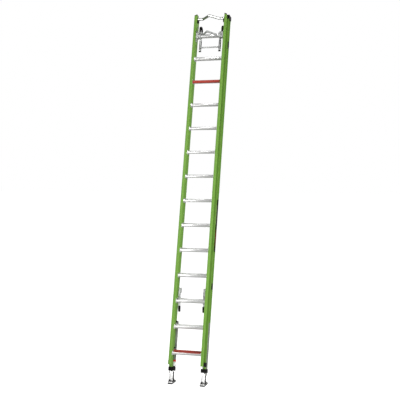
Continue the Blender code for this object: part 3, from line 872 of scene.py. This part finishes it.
def leg_covers():
    """Bright fronts and dark sides of painted shade on the lower legs, and index studs up each
    channel.
    """
    for label, side in SIDES:
        body = f"leg_{label}"
        at = joint_at(f"ankle_{label}")
        front = at.y - LEG_REACH
        back = at.y + LEG_REACH
        half = LEG_HALF
        inside = half - LEG_SKIN
        face = arc((-half + LEG_CORNER, front + LEG_CORNER), LEG_CORNER, 180, 270, 4)
        face += arc((half - LEG_CORNER, front + LEG_CORNER), LEG_CORNER, 270, 360, 4)
        face += [(half, front + LEG_WRAP), (inside, front + LEG_WRAP), (inside, front + 0.0035)]
        face += [(half - 0.0035, front + LEG_SKIN), (-half + 0.0035, front + LEG_SKIN)]
        face += [(-inside, front + 0.0035), (-inside, front + LEG_WRAP)]
        face += [(-half, front + LEG_WRAP)]
        low = at.z - 0.0040
        high = at.z + 0.0725
        toe = at.z - 0.0220
        mesh = slab(f"leg_cover_{label}", [face], high - toe, 0.0003)
        mesh = moved(mesh, at.x, 0, (toe + high) / 2)
        piece(f"leg_cover_{label}", mesh, SHOE_METAL, body)
        start = front + 0.0102
        # The dark slabs on the legs' sides are painted shade: they stand for the shadow on those
        # faces, not for a dark part.
        cheek = [(start, low), (back, low + 0.0060), (back, high), (start, high)]
        for name, end in (("a", -1), ("b", 1)):
            name = f"leg_side_{label}_{name}"
            mesh = side_slab(name, [cheek], at.x + end * half, at.x + end * inside, 0.0003)
            piece(name, mesh, SHOE_DARK, body)
        leg_low, leg_high = local_box(f"leveler_leg_{label}")
        _, outer = in_and_out(leg_low, leg_high, side)
        studs = bmesh.new()
        for i in range(STUDS):
            z = at.z + 0.140 + i * (leg_high.z - at.z - 0.160) / (STUDS - 1)
            turned(studs, STUD, facing((side, 0, 0), (outer, at.y + 0.008, z)), 12)
        piece(f"leg_studs_{label}", mesh_from("studs", studs), BLACK, body)


CHEEK_WALL = 0.0040
PAD_RIBS = 15


def shoe_shells():
    """Dark swivel cheeks on a bright folded shoe plate with a turned-up toe."""
    for label, _ in SIDES:
        node = f"shoe_{label}"
        low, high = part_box(node)
        at = Vector(joint(f"ankle_{label}")["pos_m"])
        floor = low.z
        heel = at.y + 0.0560
        toe = at.y - 0.0500
        cheek = arc((at.y, at.z), 0.0150, 200, -20, 14)
        cheek += [(at.y + 0.0300, floor + 0.0180), (heel, floor + 0.0090), (heel, floor + 0.0042)]
        cheek += [(toe, floor + 0.0042), (toe, floor + 0.0100), (at.y - 0.0280, floor + 0.0190)]
        for name, x0, x1 in (
            ("a", low.x, low.x + CHEEK_WALL), ("b", high.x - CHEEK_WALL, high.x),
        ):
            mesh = side_slab(f"cheek_{label}_{name}", [cheek], x0, x1, 0.0007)
            piece(f"shoe_cheek_{label}_{name}", mesh, SHOE_DARK, node, LEVEL)
        plate = [(low.y + 0.0030, floor), (high.y - 0.0030, floor), (high.y, floor + 0.0030)]
        plate += [(high.y - 0.0010, floor + 0.0090), (high.y - 0.0045, floor + 0.0090)]
        plate += [(high.y - 0.0060, floor + 0.0040), (low.y + 0.0060, floor + 0.0040)]
        plate += [(low.y + 0.0045, floor + 0.0120), (low.y + 0.0010, floor + 0.0120)]
        plate += [(low.y, floor + 0.0030)]
        name = f"shoe_plate_{label}"
        mesh = side_slab(name, [plate], low.x, high.x)
        piece(name, mesh, SHOE_METAL, node, LEVEL, [node])


def shoe_trim():
    """Ankle bolts and the ribs of the pads."""
    for label, _ in SIDES:
        body = f"shoe_{label}"
        low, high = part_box(body)
        at = Vector(joint(f"ankle_{label}")["pos_m"])
        mesh = pivot_heads("bolts", low, high, at, ANKLE_BOLT)
        piece(f"ankle_bolts_{label}", mesh, BOLT_METAL, body, LEVEL)
        low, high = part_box(f"shoe_pad_{label}")
        foot = low.z + 0.0012
        top = high.z - 0.0020
        ribs = bmesh.new()
        for i in range(PAD_RIBS):
            y = low.y + 0.008 + (high.y - low.y - 0.016) * i / (PAD_RIBS - 1)
            rib = [(y - 0.0022, foot), (y + 0.0022, foot), (y + 0.0016, top), (y - 0.0016, top)]
            for end, x in ((-1, low.x), (1, high.x)):
                x0 = x - end * 0.0008
                x1 = x + end * 0.0010
                ribs.from_mesh(side_slab("rib", [rib], x0, x1, 0.0003))
        piece(f"pad_ribs_{label}", mesh_from("ribs", ribs), RUBBER, body, LEVEL)


# ---- cable hooks and top of the fly ---------------------------------------------------------

HOOK_ARM_X = (0.1150, 0.1400)
HOOK_ARM_Y = (0.0260, 0.0380)
HOOK_ARM_DROP = 0.2000
HOOK_BEND_Y = 0.0750
HOOK_BEND_Z = 0.1080      # above the top rung's centre
HOOK_BEND_R = 0.0450
HOOK_TIP_Z = 0.0600
HOOK_LINK_TOP = 0.0668
SLEEVE_IN = 0.0098        # how far a sleeve's inside and outside are from the bend's line
SLEEVE_OUT = 0.0052
SLEEVE_TIP = 0.0040       # radius of the sleeve's tip
BUMPER_PROUD = 0.0012     # how far a bumper stands out from its arm


def hook_bracket_bolts():
    top_rung = (RUNGS - 1) * PITCH
    bolts = bmesh.new()
    for label, side in SIDES:
        inner, _ = in_and_out(*local_box(f"hook_bracket_{label}"), side)
        for y, dz in ((-0.022, 0.036), (0.024, 0.036), (-0.022, -0.028)):
            bolt(bolts, (inner, y, top_rung + dz), (-side, 0, 0), BRACKET_BOLT)
    mesh = mesh_from("bolts", bolts)
    piece("hook_bracket_bolts", mesh, BOLT_METAL, "fly")


def hook_sleeve(label, hub):
    """Black sleeve over a hook's bend and down its near limb."""
    low, high = local_box(f"hook_liner_{label}")
    bend = (HOOK_BEND_Y, hub + HOOK_BEND_Z)
    tip = hub + HOOK_TIP_Z - 0.0006 + SLEEVE_TIP
    far = HOOK_BEND_Y + HOOK_BEND_R
    near = HOOK_BEND_Y - HOOK_BEND_R
    sleeve = arc(bend, HOOK_BEND_R - SLEEVE_IN, 180, 0, 24)
    sleeve += arc((far - 0.0025, tip), SLEEVE_TIP, 180, 270, 4)
    sleeve += arc((far + 0.0008, tip), SLEEVE_TIP, 270, 360, 4)
    sleeve += arc(bend, HOOK_BEND_R + SLEEVE_OUT, 0, 180, 26)
    sleeve += [(near - SLEEVE_OUT, hub + HOOK_LINK_TOP), (near + SLEEVE_IN, hub + HOOK_LINK_TOP)]
    mesh = side_slab(f"sleeve_{label}", [sleeve], low.x - 0.0010, high.x + 0.0010, 0.0012)
    piece(f"hook_sleeve_{label}", mesh, BLACK, "cable_hooks",
          stands_for=[f"hook_liner_{label}"])


def hook_arm_trim(label, side, hub):
    """Rubber bumper at the foot of a hook's arm, and dark strips of painted shade up the arm's two
    sides.
    """
    foot = hub - HOOK_ARM_DROP
    near = HOOK_ARM_Y[0] - BUMPER_PROUD
    far = HOOK_ARM_Y[1] + BUMPER_PROUD
    bumper = [(near, foot + 0.0004), (far, foot + 0.0004), (far, foot + 0.0170)]
    bumper += [(near, foot + 0.0120)]
    x0 = side * (HOOK_ARM_X[0] - BUMPER_PROUD)
    x1 = side * (HOOK_ARM_X[1] + BUMPER_PROUD)
    mesh = side_slab(f"bumper_{label}", [bumper], x0, x1, 0.0010)
    piece(f"hook_bumper_{label}", mesh, RUBBER, "cable_hooks")
    # The dark strips up the arm's two sides are painted shade on those side faces.
    far = HOOK_ARM_Y[1] + 0.0010
    painted_shade_strip = [(near, foot + 0.0300), (far, foot + 0.0350), (far, hub - 0.0460)]
    painted_shade_strip += [(near, hub - 0.0500)]
    for name, x0, x1 in (
        ("inner", HOOK_ARM_X[0] - 0.0008, HOOK_ARM_X[0] + 0.0050),
        ("outer", HOOK_ARM_X[1] - 0.0065, HOOK_ARM_X[1] + 0.0008),
    ):
        mesh = side_slab(f"arm_{name}_{label}", [painted_shade_strip], side * x0, side * x1)
        piece(f"hook_arm_{name}_{label}", mesh, RUBBER, "cable_hooks")


def hook_plate(label, side, hub):
    """Bracket's side plate against the rail, with an eye for the rung and two slots."""
    plate = [(-0.0260, -0.0760), (0.0080, -0.0800), (0.0240, -0.0600), (0.0300, -0.0300)]
    plate += [(0.0300, 0.0400), (0.0200, 0.0760), (-0.0060, 0.0800), (-0.0260, 0.0640)]
    outlines = [[(y, hub + z) for y, z in plate], arc((0, hub), 0.0262, 0, 350, 35)]
    outlines += [arc((-0.004, hub + z), 0.0070, 0, 350, 15) for z in (0.0580, -0.0560)]
    _, outer = in_and_out(*local_box(f"hook_bracket_{label}"), side)
    x0 = outer + side * 0.0002
    x1 = outer + side * 0.0016
    mesh = side_slab(f"bracket_plate_{label}", outlines, x0, x1, 0.0005)
    piece(f"hook_plate_{label}", mesh, HOOK_GREY, "fly")


def hooks():
    hook_bracket_bolts()
    hub = joint_at("hook_swing").z
    for label, side in SIDES:
        hook_sleeve(label, hub)
        hook_arm_trim(label, side, hub)
        hook_plate(label, side, hub)


# ---- label and marks on the rails -----------------------------------------------------------

# Bands on the base's right rail: two distances in from its edge, two heights, and the lift.
BANDS = (
    ("band_dark", LABEL_DARK, 0.0225, 0.0012, 1.23, 1.87, 0.0003),
    ("band_orange", LABEL_ORANGE, 0.011, 0.0040, 1.30, 1.50, 0.0005),
    ("band_pale", LABEL_PALE, 0.020, 0.013, 1.56, 1.80, 0.0005),
)
BAND_CORNER = 0.002
BAND_SUNK = 0.0004

CLIPS = ((0.805, 0.036), (3.860, 0.040))      # height and half length of each rail clip
CLIP_DEPTH = 0.0400
CLIP_BEVEL = 0.0080


def stripes():
    """Plain bands where the maker's print would be; no lettering."""
    edge = BASE_HIGH.x
    y = BASE_HIGH.y - FLANGE - 0.0001
    for name, mat, start, end, z0, z1, lift in BANDS:
        outline = rounded_box((edge - start, z0), (edge - end, z1), BAND_CORNER, 3)
        mesh = front_slab(name, outline, y, BAND_SUNK + lift, 0.0001)
        piece(name, mesh, mat, "base")


def clips():
    """Black moulded clips in the base rails, clear of the guides' path, and the V-rung's stops."""
    v_low, v_high = local_box("v_rung")
    v_z = (v_low.z + v_high.z) / 2 - 0.0330
    block = arc((0.002, v_z - 0.004), 0.0170, 180, 360, 12)
    block += [(0.0190, v_z + 0.0120), (0.0130, v_z + 0.0180), (-0.0090, v_z + 0.0180)]
    block += [(-0.0150, v_z + 0.0120)]
    for label, side in SIDES:
        front = local_box(f"low_guide_{label}")[1].y + 0.0015
        bevel = front + CLIP_DEPTH - CLIP_BEVEL
        back = front + CLIP_DEPTH
        for i, (z, reach) in enumerate(CLIPS, 1):
            low = z - reach
            high = z + reach
            body = [(front, low), (bevel, low), (back, low + CLIP_BEVEL)]
            body += [(back, high - CLIP_BEVEL), (bevel, high), (front, high)]
            x0 = side * (BASE_LOW.x + WEB + 0.0002)
            x1 = side * (BASE_HIGH.x + 0.0055)
            mesh = side_slab(f"clip_{label}_{i}", [body], x0, x1, 0.0020)
            piece(f"rail_clip_{label}_{i}", mesh, BLACK, "base")
        x0 = side * (FLY_LOW.x - 0.0002)
        x1 = side * (FLY_LOW.x - 0.0190)
        mesh = side_slab(f"v_block_{label}", [block], x0, x1, 0.0016)
        piece(f"v_block_{label}", mesh, BLACK, "fly")


# ---- studio ---------------------------------------------------------------------------------

SKY = 0.24                # brightness of the surroundings as they light the ladder
FLOOR_SHADE = 0.55
FLOOR_LIFT = 0.92         # keeps the floor near white to the camera
FLOOR_REACH = 60
FLOOR_Z = -0.0002         # just under the pads
LAMPS = (                 # name, place, target, size, power
    ("key", (-3.4, -6.2, 5.6), (0, 0, 2.2), 2.6, 250),
    ("fill", (6.1, -4.0, 3.2), (0, 0, 2.2), 3.0, 500),
    ("low", (0.6, -6.0, 0.7), (0, 0, 0.9), 2.4, 90),
    ("back", (1.5, 5.0, 6.5), (0, 0, 2.4), 3.0, 60),
)
CAMERA_AT = (2.858, -9.602, 2.581)
CAMERA_TURN = (87.47, 0.1, 16.6)      # degrees
CAMERA_LENS = 73.7
CAMERA_SENSOR = 36
CAMERA_FAR = 200


def place_in_scene(name, data):
    obj = bpy.data.objects.new(name, data)
    bpy.context.scene.collection.objects.link(obj)
    return obj


def seen_directly(tree, high, low=0.0):
    """A value that is high for what the camera sees and low for what lights the ladder."""
    path = tree.nodes.new("ShaderNodeLightPath")
    pick = tree.nodes.new("ShaderNodeMapRange")
    pick.inputs["To Min"].default_value = low
    pick.inputs["To Max"].default_value = high
    tree.links.new(path.outputs["Is Camera Ray"], pick.inputs["Value"])
    return pick.outputs["Result"]


def make_floor():
    mat = bpy.data.materials.new("floor")
    mat.use_nodes = True
    tree = mat.node_tree
    shader = tree.nodes["Principled BSDF"]
    shader.inputs["Base Color"].default_value = (FLOOR_SHADE, FLOOR_SHADE, FLOOR_SHADE, 1)
    shader.inputs["Roughness"].default_value = 0.9
    shader.inputs["Emission Color"].default_value = (1, 1, 1, 1)
    tree.links.new(seen_directly(tree, FLOOR_LIFT), shader.inputs["Emission Strength"])
    bm = bmesh.new()
    corners = [(x * FLOOR_REACH, y * FLOOR_REACH, FLOOR_Z)
               for x, y in ((-1, -1), (1, -1), (1, 1), (-1, 1))]
    bm.faces.new([bm.verts.new(corner) for corner in corners])
    floor = place_in_scene("floor", mesh_from("floor", bm))
    floor.data.materials.append(mat)
    return floor


def make_lamps():
    lamps = []
    for name, at, target, size, power in LAMPS:
        data = bpy.data.lights.new(name, "AREA")
        data.size = size
        data.energy = power
        lamp = place_in_scene(name, data)
        lamp.location = at
        lamp.rotation_euler = (Vector(target) - Vector(at)).to_track_quat("-Z", "Y").to_euler()
        lamps.append(lamp)
    return lamps


def make_world():
    world = bpy.data.worlds.new("studio")
    world.use_nodes = True
    sky = world.node_tree.nodes["Background"]
    sky.inputs["Color"].default_value = (1, 1, 1, 1)
    tree = world.node_tree
    tree.links.new(seen_directly(tree, 1.0, SKY), sky.inputs["Strength"])
    bpy.context.scene.world = world
    bpy.context.scene.view_settings.view_transform = "Standard"


def make_camera():
    data = bpy.data.cameras.new("camera")
    data.sensor_width = CAMERA_SENSOR
    data.lens = CAMERA_LENS
    data.clip_end = CAMERA_FAR
    camera = place_in_scene("camera", data)
    camera.location = CAMERA_AT
    camera.rotation_euler = Euler([math.radians(a) for a in CAMERA_TURN])
    bpy.context.scene.camera = camera


def studio():
    floor = make_floor()
    lamps = make_lamps()
    make_world()
    make_camera()


dress_cad()
rails()
rungs()
start_strip()
rung_plates()
locks()
tongue_boots()
levelers()
levers()
leg_covers()
shoe_shells()
shoe_trim()
hooks()
stripes()
clips()
studio()
